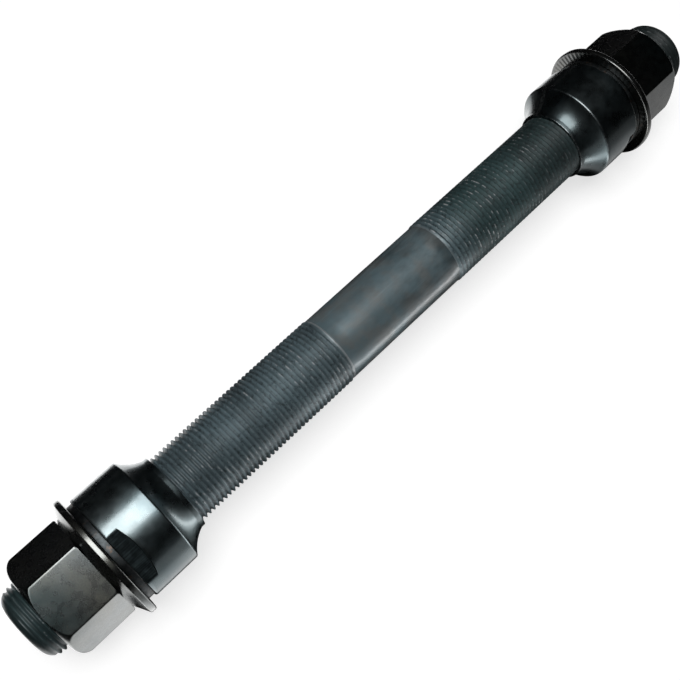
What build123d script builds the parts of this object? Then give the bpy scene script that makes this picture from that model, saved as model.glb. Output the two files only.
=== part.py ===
from build123d import *
import math
import os

os.makedirs("parts", exist_ok=True)

# Solid bicycle or tricycle hub axle, 15 x 1 mm thread, in millimetres.
# The axle lies along X with its middle at the origin. "Left" is the -X end, "right" the +X end.
# From the middle outward each end carries a bearing cone, a lock washer, the captive washer
# of the nut and the axle nut.

# Axle
axle_length = 180.0
thread_diameter = 15.0
thread_pitch = 1.0
thread_depth = 0.541
thread_root_width = 0.25
thread_flank_angle = 30.0
thread_overcut = 0.05
plain_tip_length = 1.5
left_thread_length = 75.0
right_thread_length = 75.0
shank_diameter = 14.6
thread_runout = 0.5
tip_face_diameter = 10.8
tip_round_length = 2.8

# Where the two stacks sit: outer face of one lock washer to outer face of the other
over_washers = 140.0
stack_shift = -1.2

# Bearing cone
cone_diameter = 23.0
cone_body_length = 9.7
cone_edge_round = 0.3
race_length = 4.1
race_hollow = 0.42
nose_diameter = 16.3
nose_length = 0.8
flats_across = 20.0
flats_length = 3.2
flats_cutter_diameter = 42.0

# Lock washer
lock_washer_diameter = 22.0
lock_washer_thickness = 1.5
lock_washer_chamfer = 0.2

# Captive washer of the nut
nut_washer_diameter = 26.4
nut_washer_rim = 1.2
nut_washer_rim_round = 0.35
nut_washer_flare_length = 1.7
nut_washer_top_diameter = 19.6

# Axle nut
nut_across_flats = 19.0
nut_hex_length = 11.7
nut_face_diameter = 18.2
nut_round_length = 2.6
nut_base_round = 0.35
nut_collar_wall = 1.15
nut_lip_width = 0.6
nut_lip_thickness = 0.6
nut_lip_recess = 0.3
bore_chamfer = 0.6

# Fits
thread_clearance = 0.05
collar_clearance = 0.08
lip_clearance = 0.1

# How far each piece is turned about +X from its flat or facet facing +Z, in degrees
left_cone_turn = 36.6
right_cone_turn = 107.2
left_nut_turn = 22.2
right_nut_turn = 19.7

# Worked out from the above
thread_radius = thread_diameter / 2
bore_radius = thread_radius + thread_clearance
cone_length = cone_body_length + race_length + nose_length
collar_radius = bore_radius + nut_collar_wall
lip_radius = collar_radius + nut_lip_width
washer_bore_radius = collar_radius + collar_clearance
washer_recess_radius = lip_radius + lip_clearance
nut_washer_height = nut_washer_rim + nut_washer_flare_length
hex_corner_radius = nut_across_flats / math.sqrt(3)


def turned(edges):
    """A solid of revolution about X from its outline in X and radius."""
    return revolve(make_face(Wire(edges)), Axis.X)


def closed_outline(points):
    """Straight edges through the points and back to the first."""
    return Polyline(*points, close=True).edges()


def tip_edges(end, inward):
    """The rounded tip and the end face, at x = end, with the axle on the inward side."""
    full = (end + inward * tip_round_length, thread_radius)
    face = (end, tip_face_diameter / 2)
    return [TangentArc(full, face, tangent=(-inward, 0)), Line(face, (end, 0))]


def thread_grooves(shank, outward, length):
    """Half sections of a thread's grooves, each a closed ring, from the shank outward to the tip."""
    top = thread_radius + thread_overcut
    root = thread_radius - thread_depth
    half_root = thread_root_width / 2
    half_top = half_root + (top - root) * math.tan(math.radians(thread_flank_angle))
    grooves = []
    for i in range(int((length - thread_runout - plain_tip_length) / thread_pitch)):
        x = shank + outward * (thread_runout + thread_pitch * (i + 0.5))
        corners = ((x - half_top, top), (x - half_root, root), (x + half_root, root), (x + half_top, top))
        grooves.append(make_face(closed_outline(corners)))
    return grooves


def axle():
    left_end = -axle_length / 2
    right_end = axle_length / 2
    left_shank = left_end + left_thread_length
    right_shank = right_end - right_thread_length
    shank_radius = shank_diameter / 2
    middle = Polyline(
        (left_end + tip_round_length, thread_radius),
        (left_shank - thread_runout, thread_radius),
        (left_shank, shank_radius),
        (right_shank, shank_radius),
        (right_shank + thread_runout, thread_radius),
        (right_end - tip_round_length, thread_radius),
    )
    edges = tip_edges(left_end, 1) + list(middle.edges()) + tip_edges(right_end, -1)
    edges.append(Line((left_end, 0), (right_end, 0)))
    section = make_face(Wire(edges))
    section -= thread_grooves(left_shank, -1, left_thread_length)
    section -= thread_grooves(right_shank, 1, right_thread_length)
    return revolve(section, Axis.X)


# The pieces of one end stand on x = 0, the outer face of the lock washer, with +X outward.
def cone():
    outer = -lock_washer_thickness
    body_end = outer - cone_body_length
    race_end = body_end - race_length
    nose_end = outer - cone_length
    radius = cone_diameter / 2
    nose_radius = nose_diameter / 2
    race_drop = radius - nose_radius
    race_chord = math.hypot(race_length, race_drop)
    race_middle = (
        (body_end + race_end) / 2 + race_hollow * race_drop / race_chord,
        (radius + nose_radius) / 2 - race_hollow * race_length / race_chord,
    )
    edge_start = (outer, radius - cone_edge_round)
    edge_end = (outer - cone_edge_round, radius)
    edges = list(Polyline(
        (race_end, nose_radius),
        (nose_end, nose_radius),
        (nose_end, bore_radius),
        (outer - bore_chamfer, bore_radius),
        (outer, bore_radius + bore_chamfer),
        edge_start,
    ).edges())
    edges.append(TangentArc(edge_start, edge_end, tangent=(0, 1)))
    edges.append(Line(edge_end, (body_end, radius)))
    edges.append(ThreePointArc((body_end, radius), race_middle, (race_end, nose_radius)))
    return turned(edges) - cone_flats(outer)


def cone_flats(outer):
    """What the two spanner flats cut away, each with the round end that the cutter leaves."""
    cutter_radius = flats_cutter_diameter / 2
    depth = cone_diameter
    centre = outer - flats_length + cutter_radius
    shape = Pos(centre, 0) * Circle(cutter_radius)
    top = Pos(0, 0, flats_across / 2) * extrude(shape, amount=depth)
    bottom = Rot(180, 0, 0) * top
    return top + bottom


def lock_washer():
    radius = lock_washer_diameter / 2
    return turned(closed_outline([
        (0, bore_radius),
        (0, radius - lock_washer_chamfer),
        (-lock_washer_chamfer, radius),
        (-lock_washer_thickness + lock_washer_chamfer, radius),
        (-lock_washer_thickness, radius - lock_washer_chamfer),
        (-lock_washer_thickness, bore_radius),
    ]))


def nut_washer():
    radius = nut_washer_diameter / 2
    recess_depth = nut_lip_recess + nut_lip_thickness + lip_clearance
    return turned(closed_outline([
        (0, washer_recess_radius),
        (0, radius - nut_washer_rim_round),
        (nut_washer_rim_round, radius),
        (nut_washer_rim - nut_washer_rim_round, radius),
        (nut_washer_rim, radius - nut_washer_rim_round),
        (nut_washer_height, nut_washer_top_diameter / 2),
        (nut_washer_height, washer_bore_radius),
        (recess_depth, washer_bore_radius),
        (recess_depth, washer_recess_radius),
    ]))


def axle_nut():
    base = nut_washer_height
    outer = base + nut_hex_length
    hexagon = Plane.YZ * RegularPolygon(hex_corner_radius, 6)
    prism = Pos(base, 0, 0) * extrude(hexagon, amount=nut_hex_length)
    round_start = (outer - nut_round_length, hex_corner_radius)
    round_end = (outer, nut_face_diameter / 2)
    base_start = (base, hex_corner_radius - nut_base_round)
    base_end = (base + nut_base_round, hex_corner_radius)
    envelope = turned([
        TangentArc(round_start, round_end, tangent=(1, 0)),
        Line(round_end, (outer, 0)),
        Line((outer, 0), (base, 0)),
        Line((base, 0), base_start),
        TangentArc(base_start, base_end, tangent=(0, 1)),
        Line(base_end, round_start),
    ])
    lip_top = nut_lip_recess + nut_lip_thickness
    collar = turned(closed_outline([
        (nut_lip_recess, 0),
        (nut_lip_recess, lip_radius),
        (lip_top, lip_radius),
        (lip_top, collar_radius),
        (base, collar_radius),
        (base, 0),
    ]))
    bore = turned(closed_outline([
        (0, 0),
        (0, bore_radius),
        (outer - bore_chamfer, bore_radius),
        (outer, bore_radius + bore_chamfer),
        (outer, 0),
    ]))
    return (prism & envelope) + collar - bore


def place(piece, side, turn):
    """Puts a piece of one end on the axle: side is -1 for left and 1 for right."""
    flip = 180 if side < 0 else 0
    seat = stack_shift + side * over_washers / 2
    return Rot(turn, 0, 0) * Pos(seat, 0, 0) * Rot(0, 0, flip) * piece


def write(name, piece):
    piece.label = name
    export_step(piece, f"parts/{name}.step")


write("axle", axle())
for name, side, cone_turn, nut_turn in (
    ("left", -1, left_cone_turn, left_nut_turn),
    ("right", 1, right_cone_turn, right_nut_turn),
):
    write(f"{name}_cone", place(cone(), side, cone_turn))
    write(f"{name}_lock_washer", place(lock_washer(), side, 0))
    write(f"{name}_nut_washer", place(nut_washer(), side, 0))
    write(f"{name}_axle_nut", place(axle_nut(), side, nut_turn))
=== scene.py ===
"""Hub axle of blued steel: threaded rod, bearing cones, lock washers and nuts with captive washers."""

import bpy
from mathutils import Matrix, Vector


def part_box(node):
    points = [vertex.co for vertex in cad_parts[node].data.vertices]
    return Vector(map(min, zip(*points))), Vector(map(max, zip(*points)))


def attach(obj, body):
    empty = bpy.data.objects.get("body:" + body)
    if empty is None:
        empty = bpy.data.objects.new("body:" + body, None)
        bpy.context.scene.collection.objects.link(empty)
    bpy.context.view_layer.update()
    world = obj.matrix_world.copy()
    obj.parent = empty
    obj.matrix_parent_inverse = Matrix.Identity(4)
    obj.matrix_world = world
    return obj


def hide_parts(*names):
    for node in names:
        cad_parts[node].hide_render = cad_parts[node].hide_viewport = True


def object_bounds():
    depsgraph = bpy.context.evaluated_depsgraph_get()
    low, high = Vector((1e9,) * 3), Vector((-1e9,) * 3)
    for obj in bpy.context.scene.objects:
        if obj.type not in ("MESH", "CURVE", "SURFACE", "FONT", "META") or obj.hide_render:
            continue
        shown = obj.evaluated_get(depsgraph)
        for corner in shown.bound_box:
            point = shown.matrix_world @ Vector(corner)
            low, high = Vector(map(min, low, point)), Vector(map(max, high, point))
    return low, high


bl_info = {
    "name": "Hub Axle",
    "version": (1, 0, 0),
    "blender": (4, 5, 0),
    "location": "View3D > Sidebar > Hub Axle",
    "description": "Threads, cones, washers and nuts of a blued steel hub axle, in a small studio",
    "category": "Object",
}

import math

import bmesh
import bpy
import numpy as np
from bpy.props import FloatProperty, FloatVectorProperty, IntProperty, PointerProperty
from mathutils import Vector

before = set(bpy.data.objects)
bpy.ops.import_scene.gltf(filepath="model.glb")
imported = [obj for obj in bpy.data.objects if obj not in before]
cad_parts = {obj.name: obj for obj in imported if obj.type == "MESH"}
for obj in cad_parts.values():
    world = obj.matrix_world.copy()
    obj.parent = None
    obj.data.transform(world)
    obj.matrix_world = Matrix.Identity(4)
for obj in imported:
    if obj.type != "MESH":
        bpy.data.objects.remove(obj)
cad_low, cad_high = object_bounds()

SIDES = {"left": -1, "right": 1}
MM = 0.001


def seat(side):
    """X of the outer face of a side's lock washer, on which its whole stack stands."""
    low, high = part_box(f"{side}_lock_washer")
    return low.x if SIDES[side] < 0 else high.x


def span(node):
    """Length in X and largest radius of a node."""
    low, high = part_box(node)
    return high.x - low.x, max(high.y, high.z)


axle_length, thread_radius = span("axle")
cone_length, cone_radius = span("left_cone")
lock_thickness, lock_radius = span("left_lock_washer")
dish_height, dish_radius = span("left_nut_washer")


# Settings
def length(name, description, default, low=0.0):
    """A length, given in millimetres."""
    return FloatProperty(
        name=name, description=description, default=default * MM, min=low * MM,
        unit="LENGTH", subtype="DISTANCE", precision=5,
    )


def point(name, description, default):
    """A place, given in millimetres."""
    return FloatVectorProperty(
        name=name, description=description, default=[v * MM for v in default],
        unit="LENGTH", subtype="TRANSLATION",
    )


def colour(name, description, default):
    return FloatVectorProperty(
        name=name, description=description, default=default, size=3, min=0, max=1, subtype="COLOR",
    )


def share(name, description, default):
    return FloatProperty(
        name=name, description=description, default=default, min=0, max=1, subtype="FACTOR",
    )


def level(name, description, default):
    return FloatProperty(name=name, description=description, default=default, min=0)


def turn(name, description, degrees):
    return FloatProperty(
        name=name, description=description, default=math.radians(degrees),
        unit="ROTATION", subtype="ANGLE",
    )


def count(name, description, default, low):
    return IntProperty(name=name, description=description, default=default, min=low)


class AxleSizes(bpy.types.PropertyGroup):
    pitch: length("Thread Pitch", "Distance from crest to crest", 1.0, 0.2)
    depth: length("Thread Depth", "Height from root to crest", 0.541)
    left_thread: length("Left Thread", "Length of thread at the left end", 75.0)
    right_thread: length("Right Thread", "Length of thread at the right end", 75.0)
    shank_radius: length("Shank Radius", "Radius of the plain middle", 7.3)
    runout: length("Run-out", "Length over which the groove fades into the shank", 1.8)
    shoulder: length("Shoulder", "Length over which the crests step down to the shank", 0.5)
    tip_length: length("Tip Length", "Length of the rounded tip", 2.8)
    tip_radius: length("Tip Radius", "Radius of the flat end face", 5.4)
    steps: count("Steps", "Faces in one turn of the thread", 96, 12)


class ConeSizes(bpy.types.PropertyGroup):
    body: length("Body Length", "Length of the cylinder", 9.7)
    race: length("Race Length", "Length of the hollow-ground taper", 4.1)
    hollow: length("Race Hollow", "How far the race dips below a straight taper", 0.42)
    nose_radius: length("Nose Radius", "Radius of the small end", 8.15)
    flats: length("Flats Across", "Distance between the spanner flats", 20.0)
    flats_length: length("Flats Length", "Length of the flats at their middle", 3.2)
    cutter_radius: length("Cutter Radius", "Radius of the cutter that rounds the flats' ends", 21.0)
    left_turn: turn("Left Turn", "Turn of the left cone's flat from upward", 36.6)
    right_turn: turn("Right Turn", "Turn of the right cone's flat from upward", 107.2)
    steps: count("Steps", "Faces round the cone", 240, 24)


class WasherSizes(bpy.types.PropertyGroup):
    rim: length("Rim", "Thickness of the dished washer at its rim", 1.2)
    top_radius: length("Top Radius", "Radius of the dished washer against the nut", 9.8)
    recess_radius: length("Recess Radius", "Radius of the recess for the nut's lip", 9.4)
    recess_depth: length("Recess Depth", "Depth of the recess for the nut's lip", 1.0)
    hole_radius: length("Hole Radius", "Radius of the hole for the nut's collar", 8.78)
    tooth_depth: length("Tooth Depth", "Depth of the grip teeth in the bearing face", 0.05)
    teeth: count("Teeth", "Grip teeth round the bearing face", 64, 3)
    steps: count("Steps", "Faces round a washer", 320, 24)


class NutSizes(bpy.types.PropertyGroup):
    flats: length("Flats Across", "Distance across the hexagon", 19.0)
    hexagon: length("Hexagon Length", "Length of the hexagon", 11.7)
    corner: length("Corner Rounding", "Radius worn onto the edges", 0.28)
    crown: length("Facet Crown", "How far a facet falls away towards its corners", 0.08)
    face_radius: length("Face Radius", "Radius of the flat outer face", 9.1)
    round_length: length("Round Length", "Length of the rounded outer end", 2.6)
    base_chamfer: length("Base Chamfer", "Chamfer on the corners next to the washer", 0.35)
    collar_radius: length("Collar Radius", "Radius of the collar inside the washer", 8.7)
    lip_radius: length("Lip Radius", "Radius of the swaged lip", 9.3)
    lip_low: length("Lip Recess", "How far the lip lies under the washer's face", 0.3)
    lip_high: length("Lip Top", "Height of the lip's inner side", 0.9)
    bore_radius: length("Bore Radius", "Radius inside the thread's crests", 7.55)
    bore_depth: length("Bore Thread Depth", "Depth of the inner thread's grooves", 0.45)
    bore_chamfer: length("Bore Chamfer", "Countersink at the mouth", 0.6)
    left_turn: turn("Left Turn", "Turn of the left nut's facet from upward", 22.2)
    right_turn: turn("Right Turn", "Turn of the right nut's facet from upward", 19.7)
    steps: count("Steps", "Faces across one facet of a nut", 44, 8)


class FinishColours(bpy.types.PropertyGroup):
    thread: colour("Left Thread", "Blued steel of the left thread", (0.108, 0.154, 0.172))
    # Greener than the left thread, and darker: the darkness is painted shade.
    thread_right: colour("Right Thread", "Deeper, greener right thread", (0.030, 0.060, 0.062))
    shank: colour("Shank", "Blued steel of the plain middle", (0.108, 0.156, 0.174))
    shank_warm: colour("Shank Bloom", "Warmer patches of the plain middle", (0.130, 0.148, 0.150))
    cone: colour("Cone", "Ground and blued steel of the cones", (0.160, 0.195, 0.202))
    cone_dark: colour("Cone Shade", "Deeper bluing between lighter patches", (0.105, 0.142, 0.152))
    nut: colour("Nut", "Oxide finish of the nuts", (0.078, 0.096, 0.098))
    nut_olive: colour("Nut Oil", "Olive tint left by the oil", (0.098, 0.096, 0.074))
    washer: colour("Washer", "Black finish of the lock washers", (0.040, 0.046, 0.048))
    # Bare steel for edge wear, also used for painted highlights on edges and thread crests.
    bare_steel_and_highlight: colour("Bare Steel", "Steel showing through on worn edges", (0.42, 0.44, 0.45))
    rust: colour("Brown Oxide", "Small brown specks", (0.150, 0.085, 0.050))


class StudioSettings(bpy.types.PropertyGroup):
    axle_slope: turn("Axle Slope", "Slope of the axle in the picture", 42.53)
    axle_tilt: turn("Axle Tilt", "How far the right end leans away from the camera", 16.96)
    distance: length("Camera Distance", "From the camera to the point that it looks at", 192.8)
    aim: point("Aim", "Point that the camera looks at", (-12.04, 0.0, 0.07))
    lens: FloatProperty(name="Lens", description="Focal length in millimetres", default=51.8, min=1)
    floor: colour("Floor", "Colour of the floor", (0.88, 0.88, 0.88))
    shadow: share("Shadow", "How much of the floor's white the object's shadow can take away", 0.40)
    lit: share("Lit Level", "Brightness of a white card on the floor under the softbox", 0.70)
    white_from: length("White From", "Distance at which the shadow starts to fade", 110)
    white_to: length("White To", "Distance from which the floor is plain white", 467.5)
    # These settings shape the painted shadow and light that the floor shows in reflections.
    contact: length("Contact Shade", "Half the dark floor's width under cones and nuts", 13.5)
    middle_contact: length("Middle Shade", "Half the dark floor's width between the cones", 20)
    bright_reach: length("Bright Reach", "Distance to which the reflected floor stays bright", 28)
    dim_reach: length("Dim Reach", "Distance from which the reflected floor is dim", 47.6)
    bright_level: level("Bright Level", "Brightness of the reflected floor beside the axle", 1.45)
    dim_level: level("Dim Level", "Brightness of the reflected floor farther off", 0.5)
    near_level: level("Near Level", "Share of that brightness left in front of the left cone", 0.70)
    far_level: level("Far Level", "Share of that brightness left in front of the right stack", 0.40)
    strip_level: level("Strip Level", "Brightness of the light strip in front of the axle", 5.0)
    strip_near: length("Strip Near", "From the middle line to the light strip", 24.5)
    strip_far: length("Strip Far", "From the middle line to the strip's far side", 34)
    strip_left: length("Strip Left", "X of the strip's left end", -42, -1000)
    strip_right: length("Strip Right", "X of the strip's right end", 58)
    middle_right: length("Middle Right", "X of the right end of the card behind the bare axle", 48)
    card_gap: length("Card Gap", "From the object's back to the black card behind it", 19)
    end_gap: length("End Gap", "From the object's left end to the black card beside it", 15)
    card_reach: length("Card Reach", "From the middle to the ends of the black card behind it", 300)
    end_reach: length("End Reach", "From the middle to the left end of the card beside it", 450)
    back_reach: length("Back Reach", "From the middle line to the back of the card behind it", 440)
    card_height: length("Card Height", "How far the cards lie above the floor", 0.5)
    softbox: point("Softbox", "Place of the overhead softbox", (-150, 20, 950))
    softbox_x: length("Softbox Length", "Size of the softbox along the axle", 700)
    softbox_y: length("Softbox Width", "Size of the softbox across the axle", 680)
    softbox_power: FloatProperty(
        name="Softbox Power", description="Power in watts", default=9.0, min=0,
        unit="POWER", subtype="POWER",
    )
    surround: length("Surround", "Radius of the dark curtain round the table", 550)
    surround_height: length("Surround Height", "Height of the dark curtain", 1100)


class HubAxleSettings(bpy.types.PropertyGroup):
    axle: PointerProperty(type=AxleSizes)
    cone: PointerProperty(type=ConeSizes)
    washer: PointerProperty(type=WasherSizes)
    nut: PointerProperty(type=NutSizes)
    colours: PointerProperty(type=FinishColours)
    studio: PointerProperty(type=StudioSettings)


def settings():
    return bpy.context.scene.hub_axle


# Outlines and rings
def rounded(corners, steps=4):
    """Points of an outline of (x, r, rounding) corners, each rounded by an arc."""
    points = []
    for i, (x, r, size) in enumerate(corners):
        here = np.array((x, r))
        before = np.array(corners[i - 1][:2]) - here
        after = np.array(corners[(i + 1) % len(corners)][:2]) - here
        if size <= 0:
            points.append(here)
            continue
        before /= np.linalg.norm(before)
        after /= np.linalg.norm(after)
        half = math.acos(np.clip(before @ after, -1, 1)) / 2
        reach = size / math.tan(half)
        middle = before + after
        centre = here + middle / np.linalg.norm(middle) * size / math.sin(half)
        start = here + before * reach - centre
        end = here + after * reach - centre
        swing = math.pi - 2 * half
        for k in range(steps + 1):
            a = swing * k / steps
            points.append(centre + (start * math.sin(swing - a) + end * math.sin(a)) / math.sin(swing))
    return points


def arc(start, end, rise, steps):
    """Points from start to end on an arc whose middle lies rise to the left of the straight line."""
    start, end = np.array(start), np.array(end)
    half = (end - start) / 2
    along = half / np.linalg.norm(half)
    left = np.array((-along[1], along[0]))
    radius = (half @ half + rise * rise) / (2 * abs(rise))
    side = math.copysign(1, rise)
    centre = (start + end) / 2 + left * side * (abs(rise) - radius)
    swing = math.asin(min(np.linalg.norm(half) / radius, 1))
    angles = np.linspace(-swing, swing, steps + 1)
    return [centre + radius * (along * math.sin(a) + left * side * math.cos(a)) for a in angles]


def rounding_radius(distance, drop):
    """Radius of an arc that starts straight and falls by a drop over a distance."""
    return (distance ** 2 + drop ** 2) / (2 * drop)


def full_turn(steps, start=0.0):
    """Even angles once round the axle."""
    return start + np.arange(steps) * 2 * math.pi / steps


def circle(x, radius, angles):
    """A ring of points: x and radius may each be one value or one for each angle."""
    x = np.broadcast_to(x, angles.shape)
    return np.stack((x, -radius * np.sin(angles), radius * np.cos(angles)), axis=1)


def circles(outline, angles):
    """Rings through the (x, radius) points of an outline."""
    return [circle(x, radius, angles) for x, radius in outline]


def rings_to_faces(rings, closed=False):
    """Points and four-sided faces between rings that follow each other."""
    around = len(rings[0])
    rows = len(rings) if closed else len(rings) - 1
    i, j = np.meshgrid(np.arange(rows), np.arange(around), indexing="ij")
    here, after = i * around, (i + 1) % len(rings) * around
    beside = (j + 1) % around
    faces = np.stack((here + j, here + beside, after + beside, after + j), axis=-1)
    return np.concatenate(rings), faces.reshape(-1, 4)


# One turn of a thread's profile: where its root and crest begin and end, as shares of the pitch,
# and how high it stands there
PROFILE_PLACES = np.array((0.0, 0.25, 0.5625, 0.6875))
PROFILE_HEIGHTS = np.array((0.0, 0.0, 1.0, 1.0))


def thread_to_faces(start, end, pitch, angles, radius_at):
    """One right-hand thread from start to end.

    radius_at(x, height) gives its radius, with a height of 0 at the root and 1 at the crest.
    """
    around = len(angles)
    steps = (math.ceil((end - start) / pitch) + 2) * around
    t = np.arange(steps + 1)
    angle = (angles[t % around] + 2 * math.pi * (t // around))[:, None]
    x = start + pitch * ((angle - angles[0]) / (2 * math.pi) - 1 + PROFILE_PLACES[None, :])
    inside = np.clip(x, start, end)
    radius = radius_at(inside, np.broadcast_to(PROFILE_HEIGHTS, x.shape))
    points = np.stack((inside, -radius * np.sin(angle), radius * np.cos(angle)), axis=-1)
    rows = 4 * np.arange(steps)
    one_turn = 4 * around
    flanks = [(row + k, row + k + 1, row + k + 5, row + k + 4) for row in rows for k in range(3)]
    wraps = [(row + 3, row + one_turn, row + one_turn + 4, row + 7) for row in rows[:steps - around]]
    return points.reshape(-1, 3), np.array(flanks + wraps)


def join(parts):
    """Several sets of points and faces as one."""
    points, faces, offset = [], [], 0
    for own_points, own_faces in parts:
        points.append(own_points)
        faces.append(own_faces + offset)
        offset += len(own_points)
    return np.concatenate(points), np.concatenate(faces)


def make_piece(name, shape, node, finish, sharp=32):
    """A closed mesh from points and faces. It stands for a node and rides on the body of that name."""
    points, faces = shape
    weld, sliver = 2e-7, 1e-7
    mesh = bpy.data.meshes.new(name)
    mesh.from_pydata(points.tolist(), [], faces.tolist())
    work = bmesh.new()
    work.from_mesh(mesh)
    bmesh.ops.remove_doubles(work, verts=work.verts, dist=weld)
    bmesh.ops.dissolve_degenerate(work, edges=work.edges, dist=sliver)
    bmesh.ops.recalc_face_normals(work, faces=work.faces)
    for face in work.faces:
        face.smooth = True
    work.to_mesh(mesh)
    work.free()
    mesh.set_sharp_from_angle(angle=math.radians(sharp))
    mesh.materials.append(finish)
    piece = bpy.data.objects.new(name, mesh)
    bpy.context.scene.collection.objects.link(piece)
    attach(piece, node)
    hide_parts(node)
    return piece


def second_finish(piece, finish, chosen):
    """Gives the chosen faces of a piece another finish."""
    piece.data.materials.append(finish)
    for face in piece.data.polygons:
        if chosen(face):
            face.material_index = 1


# Finishes
# Between these places the finishes change: X along the axle, or the distance from its middle
ALONG_SHANK = (-12 * MM, 12 * MM)
TO_RIGHT_THREAD = (12 * MM, 26 * MM)
TO_FAR_THREAD = (32 * MM, 50 * MM)
TO_RIGHT_STACK = (0.0, 40 * MM)
TO_NUT_END = (74 * MM, 86 * MM)
TO_STUB = (76 * MM, 86 * MM)


def scaled(tint, factor):
    """A lighter or darker shade of a colour."""
    return tuple(min(v * factor, 1) for v in tint)


class Finish:
    """A node material on the object's own coordinates, in metres."""

    def __init__(self, name, metal=1.0):
        self.material = bpy.data.materials.new(name)
        self.material.use_nodes = True
        self.nodes = self.material.node_tree.nodes
        self.links = self.material.node_tree.links
        self.shader = self.nodes["Principled BSDF"]
        self.place = self.nodes.new("ShaderNodeTexCoord").outputs["Object"]
        self.shader.inputs["Metallic"].default_value = metal

    def wire(self, value, socket):
        """Links a socket to a socket, or sets it to a plain value."""
        if isinstance(value, bpy.types.NodeSocket):
            self.links.new(value, socket)
        else:
            socket.default_value = value

    def coordinate(self, axis):
        """One coordinate of the place, in metres. X is along the axle."""
        split = self.nodes.new("ShaderNodeSeparateXYZ")
        self.links.new(self.place, split.inputs["Vector"])
        return split.outputs[axis]

    def stretched(self, x, y, z, place=None, turned=0.0):
        """The place scaled along each axis, after a turn about X."""
        node = self.nodes.new("ShaderNodeMapping")
        self.links.new(place or self.place, node.inputs["Vector"])
        node.inputs["Scale"].default_value = (x, y, z)
        node.inputs["Rotation"].default_value = (-turned, 0, 0)
        return node.outputs["Vector"]

    def noise(self, scale, detail=3.0, roughness=0.55, place=None):
        node = self.nodes.new("ShaderNodeTexNoise")
        self.links.new(place or self.place, node.inputs["Vector"])
        node.inputs["Scale"].default_value = scale
        node.inputs["Detail"].default_value = detail
        node.inputs["Roughness"].default_value = roughness
        return node.outputs["Fac"]

    def band(self, value, low, high, to_low=0.0, to_high=1.0):
        """A value eased from to_low, where it is low, to to_high, where it is high."""
        node = self.nodes.new("ShaderNodeMapRange")
        node.interpolation_type = "SMOOTHSTEP"
        sockets = ("Value", "From Min", "From Max", "To Min", "To Max")
        for socket, setting in zip(sockets, (value, low, high, to_low, to_high)):
            self.wire(setting, node.inputs[socket])
        return node.outputs["Result"]

    def math(self, kind, a, b=0.0):
        node = self.nodes.new("ShaderNodeMath")
        node.operation = kind
        self.wire(a, node.inputs[0])
        self.wire(b, node.inputs[1])
        return node.outputs["Value"]

    def product(self, first, *others):
        for value in others:
            first = self.math("MULTIPLY", first, value)
        return first

    def mix(self, factor, a, b):
        """A colour between two, each a socket or three values."""
        node = self.nodes.new("ShaderNodeMix")
        node.data_type = "RGBA"
        self.wire(factor, node.inputs["Factor"])
        for socket, tint in (("A", a), ("B", b)):
            self.wire(tint if isinstance(tint, bpy.types.NodeSocket) else (*tint, 1), node.inputs[socket])
        return node.outputs["Result"]

    def shaded(self, factor, base):
        """A base made darker by a factor from 0 to 1."""
        return self.mix(factor, base, (0.0, 0.0, 0.0))

    def within(self, value, place, reach):
        """1 where a value is within reach of a place, fading to 0 at twice that."""
        away = self.math("ABSOLUTE", self.math("SUBTRACT", value, place))
        return self.band(away, reach, 2 * reach, 1.0, 0.0)

    def radius(self):
        """Distance from the axle's axis, in metres."""
        away = [self.math("ABSOLUTE", self.coordinate(axis)) for axis in "YZ"]
        return self.math("SQRT", self.math("ADD", *(self.math("POWER", d, 2.0) for d in away)))

    def wear_and_edge_highlight(self):
        """1 on outward edges, 0 elsewhere, broken up by noise.

        This edge wear also serves as a painted edge highlight.
        """
        node = self.nodes.new("ShaderNodeNewGeometry")
        edge = self.band(node.outputs["Pointiness"], 0.51, 0.56)
        return self.product(edge, self.band(self.noise(1500, 4), 0.35, 0.6))

    def bump(self, height, distance, normal=None):
        node = self.nodes.new("ShaderNodeBump")
        node.inputs["Distance"].default_value = distance
        self.links.new(height, node.inputs["Height"])
        if normal:
            self.links.new(normal, node.inputs["Normal"])
        return node.outputs["Normal"]

    def polish(self, weight, rough, ior=1.5):
        """A clear oily layer over the steel."""
        for name, value in (("Coat Weight", weight), ("Coat Roughness", rough), ("Coat IOR", ior)):
            self.wire(value, self.shader.inputs[name])

    def done(self, base, rough, normal):
        self.wire(base, self.shader.inputs["Base Color"])
        self.wire(rough, self.shader.inputs["Roughness"])
        self.links.new(normal, self.shader.inputs["Normal"])
        return self.material

    def glow(self, strength):
        """White light."""
        node = self.nodes.new("ShaderNodeEmission")
        self.wire(strength, node.inputs["Strength"])
        return node.outputs["Emission"]

    def surface(self, shader):
        """The material with another shader in place of the steel."""
        self.links.new(shader, self.nodes["Material Output"].inputs["Surface"])
        return self.material


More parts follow.
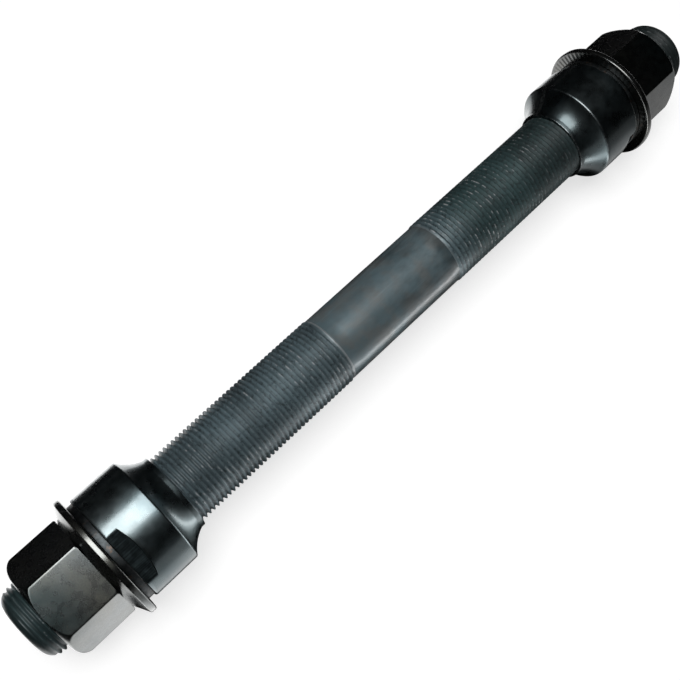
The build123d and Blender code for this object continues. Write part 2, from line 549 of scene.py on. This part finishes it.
def thread_finish(colours, shank):
    """Matte blued threads, painted shade in the roots, darker ends, painted highlights on the crests.

    The right thread is greener, and darker by painted shade. shank holds the X of the last turn of each
    thread, which gets a painted highlight ring too.
    """
    f = Finish("blued_thread", metal=0.45)
    radius = f.radius()
    x = f.coordinate("X")
    f.polish(f.band(x, *TO_RIGHT_THREAD, 0.4, 0.1), 0.3)
    # Painted highlights: bare-steel glints on the crests and a bright ring at each thread's last turn.
    crest = f.band(radius, thread_radius - 0.2 * MM, thread_radius)
    patches = f.band(f.noise(110, 2), 0.45, 0.65, 0.15, 0.9)
    glints = f.product(f.band(f.noise(900, 2), 0.5, 0.7), patches)
    left_turn = f.product(f.within(x, shank[0], 0.25 * MM), 0.45)
    right_turn = f.product(f.within(x, shank[1], 0.25 * MM), 0.18)
    painted_turn_rings = f.math("MAXIMUM", left_turn, right_turn)
    painted_highlights = f.math("MAXIMUM", f.product(crest, glints), painted_turn_rings)
    clouds = f.band(f.noise(90, 4), 0.35, 0.65)
    left = f.mix(clouds, scaled(colours.thread, 0.72), scaled(colours.thread, 1.2))
    right = f.mix(clouds, scaled(colours.thread_right, 0.72), scaled(colours.thread_right, 1.2))
    grime = f.band(f.noise(1300, 3), 0.5, 0.68, 0.0, 0.55)
    # Towards the right the thread takes the greener, darker right colour; its darkness is painted shade.
    tint = f.shaded(grime, f.mix(f.band(x, *TO_RIGHT_THREAD), left, right))
    # More painted shade: darker still near the right cone.
    shaded_thread_tint = f.shaded(f.band(x, *TO_FAR_THREAD, 0.0, 0.35), tint)
    # Darker towards both ends of the axle, most at the right end.
    stub = f.mix(f.band(x, -MM, MM), scaled(colours.thread_right, 0.75), scaled(colours.thread_right, 0.2))
    end_darkened = f.mix(f.band(f.math("ABSOLUTE", x), *TO_STUB, 0.0, 0.9), shaded_thread_tint, stub)
    # Painted shade: darker in the roots of the thread, less so on the right.
    in_root = f.band(radius, thread_radius - 0.6 * MM, thread_radius - 0.12 * MM, 1.0, 0.0)
    root = f.product(in_root, f.band(x, *TO_RIGHT_THREAD, 0.45, 0.28))
    specked = f.mix(f.band(f.noise(2400, 3), 0.7, 0.8, 0.0, 0.3), f.shaded(root, end_darkened), colours.rust)
    base = f.mix(painted_highlights, specked, colours.bare_steel_and_highlight)
    grain = f.band(f.noise(900, 4), 0.3, 0.7, 0.46, 0.58)
    rough = f.math("ADD", grain, f.band(x, *TO_RIGHT_THREAD, 0.0, 0.14))
    return f.done(base, rough, f.bump(f.noise(5000, 3), 0.004 * MM))


def shank_finish(colours):
    """Drawn bar between the threads: soft grey, faint turning lines, clouded towards the right.

    Lighter streaks along it are a painted highlight.
    """
    f = Finish("blued_shank", metal=0.3)
    f.polish(0.7, 0.16, 1.4)
    lines = f.noise(1.0, 3, place=f.stretched(3200, 40, 40))
    # Painted highlight: lighter streaks along the bar, mixed in below.
    highlight_streaks = f.noise(1.0, 3, place=f.stretched(50, 900, 900))
    tint = f.mix(f.band(f.noise(230, 4), 0.35, 0.65), colours.shank, colours.shank_warm)
    # Darker clouds, stronger towards the right.
    clouds = f.noise(1.0, 4, 0.6, place=f.stretched(120, 260, 260))
    clouded = f.band(f.coordinate("X"), *ALONG_SHANK, 0.1, 0.6)
    clouded_tint = f.shaded(f.product(f.band(clouds, 0.35, 0.75), clouded), tint)
    painted_streaks = f.mix(f.band(highlight_streaks, 0.55, 0.75, 0.0, 0.3), clouded_tint, scaled(colours.shank, 1.5))
    specked = f.mix(f.band(f.noise(2600, 3), 0.7, 0.8, 0.0, 0.15), painted_streaks, colours.rust)
    rough = f.band(f.noise(700, 4), 0.3, 0.7, 0.36, 0.5)
    return f.done(specked, rough, f.bump(lines, 0.003 * MM, f.bump(f.noise(260, 2), 0.02 * MM)))


def cone_finish(colours):
    """Ground, polished and blued: soft patches of blue-green and fine rings from the grinding.

    Towards the right end the tint is darker, a painted shade.
    """
    f = Finish("ground_cone")
    x = f.coordinate("X")
    f.polish(f.band(x, *TO_RIGHT_STACK, 0.6, 0.3), 0.14)
    rings = f.noise(1.0, 4, place=f.stretched(4200, 30, 30))
    tint = f.mix(f.band(f.noise(110, 4), 0.3, 0.7), colours.cone_dark, colours.cone)
    # Painted shade: the tint darkens towards the right end.
    blued = f.shaded(f.band(x, *TO_RIGHT_STACK, 0.0, 0.45), tint)
    specks = f.band(f.noise(4200, 2), 0.66, 0.76)
    stained = f.mix(f.product(specks, 0.2), blued, colours.rust)
    # Edge wear in bare steel, partly a painted edge highlight.
    base = f.mix(f.product(f.wear_and_edge_highlight(), 0.6), stained, colours.bare_steel_and_highlight)
    rough = f.band(f.noise(420, 4), 0.3, 0.7, 0.26, 0.35)
    return f.done(base, rough, f.bump(rings, 0.0025 * MM))


def shaded_milled_finish(colours, start):
    """Spanner flats: darker, a painted shade, and coarser, with the cutter's short parallel marks."""
    f = Finish("milled_flat")
    marks = f.noise(1.0, 3, place=f.stretched(150, 3600, 1, f.stretched(1, 1, 1, turned=start)))
    # Painted shade: the flats are coloured darker than the cone.
    base = f.mix(f.band(marks, 0.4, 0.7), scaled(colours.cone_dark, 0.45), scaled(colours.cone_dark, 0.9))
    rough = f.band(f.noise(900, 3), 0.3, 0.7, 0.34, 0.46)
    return f.done(base, rough, f.bump(marks, 0.03 * MM))


def nut_finish(colours, name, far_polish, far_shade):
    """Oxide black with an oily olive bloom, a fine grain and edge wear, partly a painted highlight.

    Painted shade darkens the upper side of the outer ends, where the polish is duller too. Towards the
    right end of the axle, only far_polish of the polish is left, and the steel is darker by far_shade,
    a painted shade.
    """
    f = Finish(name)
    x = f.coordinate("X")
    bloom = f.mix(f.band(f.noise(150, 3, 0.5), 0.2, 0.8), colours.nut, colours.nut_olive)
    # Painted shade: darker towards the right end.
    end_darkened = f.shaded(f.band(x, *TO_RIGHT_STACK, 0.0, far_shade), bloom)
    outward = f.band(f.math("ABSOLUTE", x), *TO_NUT_END)
    upper = f.within(f.coordinate("Y"), -3.5 * MM, 4.0 * MM)
    # Painted shade on the upper side of the outer ends.
    outer_end_shade = f.product(outward, upper, f.band(f.noise(200, 3), 0.3, 0.7, 0.6, 1.0))
    dulled = f.band(outer_end_shade, 0.0, 1.0, 1.0, 0.35)
    f.polish(f.product(dulled, f.band(x, *TO_RIGHT_STACK, 1.0, far_polish)), 0.22, 1.9)
    ended = f.mix(outer_end_shade, end_darkened, scaled(colours.thread_right, 0.5))
    grain = f.mix(f.band(f.noise(4200, 2), 0.3, 0.7, 0.0, 0.4), ended, scaled(colours.nut, 0.35))
    specks = f.band(f.noise(3600, 2), 0.66, 0.74)
    stained = f.mix(f.product(specks, 0.25), grain, colours.rust)
    # Edge wear in bare steel, partly a painted edge highlight.
    base = f.mix(f.product(f.wear_and_edge_highlight(), 0.2), stained, colours.bare_steel_and_highlight)
    rough = f.band(f.noise(600, 4), 0.3, 0.7, 0.24, 0.34)
    dents = f.bump(f.noise(130, 1), 0.006 * MM)
    return f.done(base, rough, f.bump(f.noise(3800, 2), 0.001 * MM, dents))


def washer_finish(colours):
    """Black satin lock washers with a little brown in the grain."""
    f = Finish("black_washer")
    tint = f.mix(f.band(f.noise(900, 4), 0.55, 0.7, 0.0, 0.5), colours.washer, colours.rust)
    # Edge wear in bare steel, partly a painted edge highlight.
    base = f.mix(f.product(f.wear_and_edge_highlight(), 0.35), tint, colours.bare_steel_and_highlight)
    rough = f.band(f.noise(800, 4), 0.3, 0.7, 0.35, 0.5)
    return f.done(base, rough, f.bump(f.noise(3000, 3), 0.005 * MM))


# Axle
def tip_radius_at(axle, distance):
    """Radius of the rounded tip at a distance from the end face."""
    curve = rounding_radius(axle.tip_length, thread_radius - axle.tip_radius)
    back = np.clip(axle.tip_length - distance, 0, None)
    return thread_radius - curve + np.sqrt(curve ** 2 - back ** 2)


def axle_end(axle, outward, thread_length, angles):
    """Thread and tip of one end, from the shank to its face."""
    tip = outward * axle_length / 2
    shank = tip - outward * thread_length
    root = thread_radius - axle.depth
    curve = rounding_radius(axle.tip_length, thread_radius - axle.tip_radius)
    groove = axle.tip_length - math.sqrt(curve ** 2 - (curve - axle.depth) ** 2)
    ease = 0.7

    def radius_at(x, height):
        from_shank = np.abs(x - shank)
        faded = np.clip(from_shank / axle.runout, 0, 1) ** ease
        stepped = np.clip(from_shank / axle.shoulder, 0, 1)
        low = axle.shank_radius + (root - axle.shank_radius) * faded
        high = axle.shank_radius + (thread_radius - axle.shank_radius) * stepped
        return np.minimum(low + (high - low) * height, tip_radius_at(axle, np.abs(tip - x)))

    low, high = sorted((tip - outward * groove, shank))
    thread = thread_to_faces(low, high, axle.pitch, angles, radius_at)
    edge = 0.18 * MM
    outline = [(0.0, part * axle.tip_radius) for part in (0.0, 0.35, 0.7)]
    outline += [(0.0, axle.tip_radius - edge), (0.25 * edge, axle.tip_radius - 0.1 * edge)]
    outline += [(d, float(tip_radius_at(axle, d))) for d in np.linspace(edge, groove, 6)]
    face = rings_to_faces(circles([(tip - outward * d, r) for d, r in outline], angles))
    return [thread, face]


class HUBAXLE_OT_axle(bpy.types.Operator):
    """Make the axle with a rolled thread at each end and a plain middle"""

    bl_idname = "hubaxle.axle"
    bl_label = "Axle"

    def execute(self, context):
        axle, colours = settings().axle, settings().colours
        angles = full_turn(axle.steps)
        left = axle.left_thread - axle_length / 2
        right = axle_length / 2 - axle.right_thread
        places = np.linspace(left, right, 13)
        parts = axle_end(axle, -1, axle.left_thread, angles) + axle_end(axle, 1, axle.right_thread, angles)
        parts.append(rings_to_faces(circles([(x, axle.shank_radius) for x in places], angles)))
        steel = thread_finish(colours, (left, right))
        piece = make_piece("axle_threads", join(parts), "axle", steel, sharp=80)
        second_finish(piece, shank_finish(colours), lambda face: left < face.center.x < right)
        return {"FINISHED"}


# Stacks
def set_on_axle(rings, side):
    """Moves rings from a side's own x, outward from its seat, to their place on the axle."""
    for ring in rings:
        ring[:, 0] = seat(side) + SIDES[side] * ring[:, 0]
    return rings


def bored_shape(rings, bore, side, angles):
    """An outside set on the axle, with a thread in its bore.

    The bore's two ends are in the side's own x. Its crests clear the axle, and its grooves fade out
    at both ends.
    """
    nut = settings().nut
    fade = 0.8 * MM
    low, high = sorted(seat(side) + SIDES[side] * x for x in bore)

    def radius_at(x, height):
        near = np.clip(np.minimum(x - low, high - x) / fade, 0, 1)
        return nut.bore_radius + nut.bore_depth * (1 - height) * near

    thread = thread_to_faces(low, high, settings().axle.pitch, angles, radius_at)
    return join([rings_to_faces(set_on_axle(rings, side)), thread])


# Cones
def flat_radius(limit, half_across, angles, start):
    """Radius round a cone between its two flats, the first at the start angle."""
    away = np.abs(np.cos(angles - start))
    return np.minimum(limit, half_across / np.maximum(away, 1e-6))


def cone_rings(cone, nut, angles, start):
    """Rings of a cone's outside from the outer bore edge round to the nose, and the bore's two ends.

    x is 0 at the outer face of the lock washer and grows outward.
    """
    outer = -lock_thickness
    body_end = outer - cone.body
    race_end = body_end - cone.race
    nose_end = outer - cone_length
    bore_end = nose_end + 0.1 * MM
    mouth = nut.bore_radius + nut.bore_chamfer
    edge = 0.3 * MM
    across = cone_radius * np.sin(angles - start)
    shoulder = outer - cone.flats_length + cone.cutter_radius - np.sqrt(cone.cutter_radius ** 2 - across ** 2)
    on_flats = flat_radius(cone_radius, cone.flats / 2, angles, start)
    race_steps = 22

    face = [(outer - nut.bore_chamfer, nut.bore_radius), (outer, mouth), (outer, mouth + 0.1 * MM)]
    face += [(outer, cone_radius - part * edge) for part in (3, 1.5, 1)]
    face += [(outer - 0.3 * edge, cone_radius - 0.3 * edge), (outer - edge, cone_radius)]
    rings = [circle(x, flat_radius(r, cone.flats / 2, angles, start), angles) for x, r in face]
    for part in (0.33, 0.66):
        rings.append(circle(outer - edge + (shoulder - outer + edge) * part, on_flats, angles))

    step = 0.06 * MM
    for off, up in ((-2.0, 0.0), (-1.0, 0.05), (-0.3, 0.3), (0.0, 0.85), (0.6, 0.98), (1.6, 1.0)):
        rings.append(circle(shoulder - off * step, on_flats + (cone_radius - on_flats) * up, angles))
    start_body = shoulder - 1.6 * step
    for part in np.linspace(0.15, 0.94, 7):
        x = start_body + (body_end + 0.25 * MM - start_body) * part
        rings.append(circle(x, cone_radius, angles))

    race = arc((body_end, cone_radius), (race_end, cone.nose_radius), cone.hollow, race_steps)
    outline = [(body_end + 0.22 * MM, cone_radius), (body_end + 0.06 * MM, cone_radius - 0.03 * MM)]
    outline += race[1:]
    outline += [
        (nose_end + 0.12 * MM, cone.nose_radius),
        (nose_end + 0.03 * MM, cone.nose_radius - 0.04 * MM),
        (nose_end, cone.nose_radius - 0.12 * MM),
        (nose_end, nut.bore_radius + 0.1 * MM),
        (bore_end, nut.bore_radius),
    ]
    return rings + circles(outline, angles), (bore_end, outer - nut.bore_chamfer)


class HUBAXLE_OT_cones(bpy.types.Operator):
    """Make the two bearing cones with their hollow-ground races and spanner flats"""

    bl_idname = "hubaxle.cones"
    bl_label = "Bearing Cones"

    def execute(self, context):
        cone, nut, colours = settings().cone, settings().nut, settings().colours
        finish = cone_finish(colours)
        for side, start in (("left", cone.left_turn), ("right", cone.right_turn)):
            angles = full_turn(cone.steps, start)
            rings, bore = cone_rings(cone, nut, angles, start)
            shape = bored_shape(rings, bore, side, angles)
            piece = make_piece(f"{side}_bearing_cone", shape, f"{side}_cone", finish)
            facing = Vector((0, -math.sin(start), math.cos(start)))

            def milled(face):
                off_flat = abs(abs(face.center.dot(facing)) - cone.flats / 2)
                return abs(face.normal.dot(facing)) > 0.999 and off_flat < 0.05 * MM

            second_finish(piece, shaded_milled_finish(colours, start), milled)
        return {"FINISHED"}


# Washers
def turned_piece(name, side, corners, finish, node, steps, after=None):
    """A closed ring from its rounded outline, standing for one node."""
    angles = full_turn(steps)
    rings = circles(rounded(corners), angles)
    if after:
        after(rings, angles)
    shape = rings_to_faces(set_on_axle(rings, side), closed=True)
    return make_piece(name, shape, node, finish)


class HUBAXLE_OT_lock_washers(bpy.types.Operator):
    """Make the thin washers between the cones and the nuts"""

    bl_idname = "hubaxle.lock_washers"
    bl_label = "Lock Washers"

    def execute(self, context):
        bore_radius = settings().nut.bore_radius
        steps = settings().washer.steps // 2
        finish = washer_finish(settings().colours)
        rim, mouth = 0.2 * MM, 0.1 * MM
        corners = [
            (0, bore_radius, mouth),
            (0, lock_radius, rim),
            (-lock_thickness, lock_radius, rim),
            (-lock_thickness, bore_radius, mouth),
        ]
        for side in SIDES:
            name, node = f"{side}_locking_ring", f"{side}_lock_washer"
            turned_piece(name, side, corners, finish, node, steps)
        return {"FINISHED"}


class HUBAXLE_OT_nut_washers(bpy.types.Operator):
    """Make the dished washers that the nuts carry, with grip teeth on their bearing faces"""

    bl_idname = "hubaxle.nut_washers"
    bl_label = "Captive Washers"

    def execute(self, context):
        washer = settings().washer
        finish = nut_finish(settings().colours, "oxide_washer", far_polish=0.9, far_shade=0.5)
        rim, inner = 0.35 * MM, 0.06 * MM
        teeth_low = washer.recess_radius + 0.55 * MM
        teeth_high = dish_radius - 2.2 * rim
        margin = 0.05 * MM
        corners = [
            (0, washer.recess_radius, inner),
            (0, teeth_low, 0.0),
            (0, teeth_high, 0.0),
            (0, dish_radius, rim),
            (washer.rim, dish_radius, rim),
            (dish_height, washer.top_radius, 0.2 * MM),
            (dish_height, washer.hole_radius, inner),
            (washer.recess_depth, washer.hole_radius, inner),
            (washer.recess_depth, washer.recess_radius, inner),
        ]

        def press_teeth(rings, angles):
            wave = 0.5 - 0.5 * np.cos(angles * washer.teeth)
            for ring in rings:
                radius = np.hypot(ring[:, 1], ring[:, 2])
                between = (radius > teeth_low - margin) & (radius < teeth_high + margin)
                on_face = np.abs(ring[:, 0]) < 1e-7
                ring[:, 0] += np.where(on_face & between, wave * washer.tooth_depth, 0)

        for side in SIDES:
            name, node = f"{side}_dished_washer", f"{side}_nut_washer"
            turned_piece(name, side, corners, finish, node, washer.steps, press_teeth)
        return {"FINISHED"}


# Nuts
SIXTH = math.pi / 3


def facet_angles(steps, start):
    """Angles round a nut, closer together towards the corners, from the first corner on."""
    across = np.sin(np.linspace(-1, 1, steps, endpoint=False) * math.pi / 2) * SIXTH / 2
    return np.concatenate([start + k * SIXTH + across for k in range(6)])


def hexagon_radius(nut, angles, start):
    """Radius round a hexagon with crowned facets and rounded corners, a facet at the start angle."""
    half = nut.flats / 2
    away = (angles - start + SIXTH / 2) % SIXTH - SIXTH / 2
    crowned = (half - nut.crown * (np.tan(away) / math.tan(SIXTH / 2)) ** 2) / np.cos(away)
    centre = (half - nut.crown - nut.corner) / math.cos(SIXTH / 2)
    from_corner = SIXTH / 2 - np.abs(away)
    reach = centre * np.sin(from_corner)
    corner = centre * np.cos(from_corner) + np.sqrt(np.clip(nut.corner ** 2 - reach ** 2, 0, None))
    on_corner = corner * np.sin(from_corner) < nut.corner / 2
    return np.where(on_corner, np.minimum(crowned, corner), crowned)


def soft_minimum(a, b, size):
    """The smaller of two radii, blended over a size where they cross."""
    mix = np.clip(0.5 + 0.5 * (b - a) / size, 0, 1)
    return b * (1 - mix) + a * mix - size * mix * (1 - mix) * 0.5


def nut_rings(nut, angles, start):
    """Rings of a nut from the bore's mouth round to its inner end, and the bore's two ends.

    x is 0 at the washer's bearing face and grows outward.
    """
    base = dish_height
    outer = base + nut.hexagon
    point_radius = nut.flats / 2 / math.cos(SIXTH / 2)
    curve = rounding_radius(nut.round_length, point_radius - nut.face_radius)
    hexagon = hexagon_radius(nut, angles, start)
    mouth = nut.bore_radius + nut.bore_chamfer
    bore_outer = outer - nut.bore_chamfer
    bore_inner = nut.lip_low + 0.2 * MM
    blend = 0.12 * MM
    clear = 1 * MM

    def ring(x, envelope):
        return circle(x, soft_minimum(hexagon, envelope, blend), angles)

    face = [(bore_outer, nut.bore_radius), (outer, mouth), (outer, mouth + 0.08 * MM)]
    face.append((outer, nut.face_radius - 0.25 * MM))
    rings = circles(face, angles)
    rings.append(ring(outer, nut.face_radius - 0.08 * MM))
    closer_outward = np.linspace(0.02, 1, 24) ** 1.2
    for part in closer_outward:
        fall = curve - math.sqrt(curve ** 2 - (nut.round_length * (1 - part)) ** 2)
        rings.append(ring(outer - nut.round_length * part, point_radius - fall))
    straight = nut.hexagon - nut.round_length - nut.base_chamfer
    for part in np.linspace(0.1, 1, 9):
        rings.append(ring(outer - nut.round_length - straight * part, point_radius + clear * (part < 1)))
    for part in (0.5, 0.9, 1.0):
        rings.append(ring(base + nut.base_chamfer * (1 - part), point_radius - nut.base_chamfer * part))
    collar = [
        (base, nut.collar_radius),
        (nut.lip_high, nut.collar_radius),
        (nut.lip_high, nut.lip_radius - 0.1 * MM),
        (nut.lip_high - 0.1 * MM, nut.lip_radius),
        (nut.lip_low + 0.15 * MM, nut.lip_radius),
        (nut.lip_low, nut.lip_radius - 0.15 * MM),
        (nut.lip_low, nut.bore_radius + 0.2 * MM),
        (bore_inner, nut.bore_radius),
    ]
    return rings + circles(collar, angles), (bore_inner, bore_outer)


class HUBAXLE_OT_nuts(bpy.types.Operator):
    """Make the tall axle nuts with rounded ends, threaded bores and swaged collars"""

    bl_idname = "hubaxle.nuts"
    bl_label = "Axle Nuts"

    def execute(self, context):
        nut = settings().nut
        finish = nut_finish(settings().colours, "oxide_nut", far_polish=0.3, far_shade=0.8)
        for side, start in (("left", nut.left_turn), ("right", nut.right_turn)):
            angles = facet_angles(nut.steps, start)
            rings, bore = nut_rings(nut, angles, start)
            shape = bored_shape(rings, bore, side, angles)
            make_piece(f"{side}_hexagon_nut", shape, f"{side}_axle_nut", finish)
        return {"FINISHED"}


# Studio
ROUND_STEPS = 96


def cloth_material():
    """Black cloth that shines nowhere."""
    f = Finish("dark_cloth", metal=0.0)
    cloth = (("Base Color", (0.012, 0.012, 0.013, 1)), ("Roughness", 0.9), ("Specular IOR Level", 0.0))
    for name, value in cloth:
        f.shader.inputs[name].default_value = value
    return f.material


def light_material(strength):
    """A surface that glows white; on the light strip it is seen only in reflections, a painted reflection."""
    f = Finish("strip_light")
    return f.surface(f.glow(strength))


def floor_material(studio):
    """Pale floor, white to the camera apart from the object's shadow.

    In reflections it shows painted shadow and light: dark under the axle, bright beside it and dim
    farther off. In front of the left cone and of the right stack, less of that brightness is left.
    """
    f = Finish("pale_floor")
    add, mix = "ShaderNodeAddShader", "ShaderNodeMixShader"

    def matte(tint):
        node = f.nodes.new("ShaderNodeBsdfDiffuse")
        node.inputs["Color"].default_value = (*tint, 1)
        return node.outputs["BSDF"]

    def joined(kind, *sources):
        node = f.nodes.new(kind)
        for source, socket in zip(sources, node.inputs):
            f.links.new(source, socket)
        return node.outputs["Shader"]

    reach = f.nodes.new("ShaderNodeVectorMath")
    reach.operation = "LENGTH"
    f.links.new(f.place, reach.inputs[0])
    shade = matte((studio.shadow, studio.shadow, studio.shadow))
    shadowed = joined(add, shade, f.glow(1 - studio.lit * studio.shadow))
    far_off = f.band(reach.outputs["Value"], studio.white_from, studio.white_to)
    seen = joined(mix, far_off, shadowed, f.glow(1.0))

    # Painted shadow and light, seen only in reflections: dark under the axle, bright beside it.
    x, y = f.coordinate("X"), f.coordinate("Y")
    along, across = f.math("ABSOLUTE", x), f.math("ABSOLUTE", y)
    near_low, near_high = (corner.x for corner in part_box("left_cone"))
    far_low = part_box("right_cone")[0].x
    half_shade = f.band(along, far_low - 2 * MM, far_low + 2 * MM, studio.middle_contact, studio.contact)
    past_shade = f.band(f.math("SUBTRACT", across, half_shade), -MM, MM)
    beside = f.math("MAXIMUM", f.band(along, cad_high.x - MM, cad_high.x + MM), past_shade)
    fallen = f.band(across, studio.bright_reach, studio.dim_reach, studio.bright_level, studio.dim_level)
    front = f.band(y, -MM, MM, 1.0, 0.0)
    past_low = f.band(x, near_low - 3 * MM, near_low)
    before_high = f.band(x, near_high + 2 * MM, near_high + 6 * MM, 1.0, 0.0)
    at_near = f.product(past_low, before_high, front)
    at_far = f.product(f.band(x, far_low - 15 * MM, far_low - 3 * MM), front)
    near_share = f.band(at_near, 0.0, 1.0, 1.0, studio.near_level)
    far_share = f.band(at_far, 0.0, 1.0, 1.0, studio.far_level)
    mirrored = f.glow(f.product(beside, fallen, near_share, far_share))

    rays = f.nodes.new("ShaderNodeLightPath").outputs
    white = f.math("MAXIMUM", rays["Is Camera Ray"], rays["Is Transmission Ray"])
    unseen = joined(mix, rays["Is Glossy Ray"], matte(studio.floor), mirrored)
    return f.surface(joined(mix, white, unseen, seen))


def stage_piece(name, mesh, material):
    """Links a mesh of the stage."""
    mesh.materials.append(material)
    piece = bpy.data.objects.new(name, mesh)
    bpy.context.scene.collection.objects.link(piece)
    return piece


def disc(name, radius, z, material):
    mesh = bpy.data.meshes.new(name)
    work = bmesh.new()
    bmesh.ops.create_circle(work, cap_ends=True, segments=ROUND_STEPS, radius=radius)
    work.to_mesh(mesh)
    work.free()
    stage_piece(name, mesh, material).location.z = z


def card(name, low, high, z, material):
    """Card on the floor, seen only in the polish of the steel: a painted reflection, black or bright."""
    corners = [(low[0], low[1], z), (high[0], low[1], z), (high[0], high[1], z), (low[0], high[1], z)]
    mesh = bpy.data.meshes.new(name)
    mesh.from_pydata(corners, [], [(0, 1, 2, 3)])
    piece = stage_piece(name, mesh, material)
    for kind in ("camera", "diffuse", "transmission", "shadow"):
        setattr(piece, f"visible_{kind}", False)


def curtain(name, radius, low, high, material):
    """Dark round curtain with a lid, seen only in reflections."""
    angles = full_turn(ROUND_STEPS)
    x, y = np.cos(angles), np.sin(angles)
    lid_hole = 10 * MM
    outline = ((radius, low), (radius, high), (lid_hole, high))
    rings = [np.stack((r * x, r * y, np.full(ROUND_STEPS, z)), axis=1) for r, z in outline]
    points, faces = rings_to_faces(rings)
    mesh = bpy.data.meshes.new(name)
    mesh.from_pydata(points.tolist(), [], faces.tolist())
    stage_piece(name, mesh, material).visible_camera = False


def camera_direction(studio):
    """Unit vector from the aim to the camera, with the camera level."""
    rise = math.atan(math.sin(studio.axle_slope) / math.tan(studio.axle_tilt))
    around = -math.acos(math.cos(studio.axle_tilt) * math.cos(studio.axle_slope))
    flat = math.cos(rise)
    return Vector((math.sin(around) * flat, -math.cos(around) * flat, math.sin(rise)))


class HUBAXLE_OT_studio(bpy.types.Operator):
    """Set up the floor, the cards, the dark curtain, the softbox, the world and the camera"""

    bl_idname = "hubaxle.studio"
    bl_label = "Studio"

    def execute(self, context):
        studio = settings().studio
        scene = context.scene
        ground = cad_low.z
        cloth = cloth_material()
        light = light_material(studio.strip_level)
        disc("floor", studio.surround, ground, floor_material(studio))
        curtain("dark_curtain", studio.surround, ground, ground + studio.surround_height, cloth)
        back = cad_high.y + studio.card_gap
        left_end = cad_low.x - studio.end_gap
        strip_low = (studio.strip_left, -studio.strip_far)
        strip_high = (studio.strip_right, -studio.strip_near)
        # Black cards and a light strip, seen only in reflections: painted dark and bright reflections.
        for name, low, high, material in (
            ("back_card", (-studio.card_reach, back), (studio.card_reach, studio.back_reach), cloth),
            ("light_strip", strip_low, strip_high, light),
            ("middle_card", (studio.strip_left, studio.contact), (studio.middle_right, back), cloth),
            ("end_card", (-studio.end_reach, -studio.card_reach), (left_end, back), cloth),
        ):
            card(name, low, high, ground + studio.card_height, material)

        softbox = bpy.data.lights.new("overhead_softbox", "AREA")
        softbox.shape = "RECTANGLE"
        softbox.size = studio.softbox_x
        softbox.size_y = studio.softbox_y
        softbox.energy = studio.softbox_power
        lamp = bpy.data.objects.new("overhead_softbox", softbox)
        lamp.location = studio.softbox
        scene.collection.objects.link(lamp)
        world = bpy.data.worlds.new("white_room")
        world.use_nodes = True
        world.node_tree.nodes["Background"].inputs["Color"].default_value = (1, 1, 1, 1)
        scene.world = world

        lens = bpy.data.cameras.new("camera")
        lens.lens = studio.lens
        lens.clip_start = 5 * MM
        camera = bpy.data.objects.new("camera", lens)
        toward = camera_direction(studio)
        camera.location = Vector(studio.aim) + toward * studio.distance
        camera.rotation_euler = (-toward).to_track_quat("-Z", "Y").to_euler()
        scene.collection.objects.link(camera)
        scene.camera = camera
        scene.view_settings.view_transform = "Standard"
        return {"FINISHED"}


STEPS = (
    HUBAXLE_OT_axle,
    HUBAXLE_OT_cones,
    HUBAXLE_OT_lock_washers,
    HUBAXLE_OT_nut_washers,
    HUBAXLE_OT_nuts,
    HUBAXLE_OT_studio,
)


class HUBAXLE_PT_panel(bpy.types.Panel):
    """Steps and sizes of the hub axle"""

    bl_idname = "HUBAXLE_PT_panel"
    bl_label = "Hub Axle"
    bl_space_type = "VIEW_3D"
    bl_region_type = "UI"
    bl_category = "Hub Axle"

    def draw(self, context):
        for step in STEPS:
            self.layout.operator(step.bl_idname)
        for group in ("axle", "cone", "washer", "nut", "colours", "studio"):
            box = self.layout.box()
            box.label(text=group.capitalize())
            values = getattr(context.scene.hub_axle, group)
            for name in values.__annotations__:
                box.prop(values, name)


GROUPS = (AxleSizes, ConeSizes, WasherSizes, NutSizes, FinishColours, StudioSettings, HubAxleSettings)
CLASSES = (*GROUPS, *STEPS, HUBAXLE_PT_panel)


def register():
    for cls in CLASSES:
        bpy.utils.register_class(cls)
    bpy.types.Scene.hub_axle = PointerProperty(type=HubAxleSettings)


def unregister():
    del bpy.types.Scene.hub_axle
    for cls in reversed(CLASSES):
        bpy.utils.unregister_class(cls)


def main():
    register()
    bpy.ops.hubaxle.axle()
    bpy.ops.hubaxle.cones()
    bpy.ops.hubaxle.lock_washers()
    bpy.ops.hubaxle.nut_washers()
    bpy.ops.hubaxle.nuts()
    bpy.ops.hubaxle.studio()


if __name__ == "__main__":
    main()
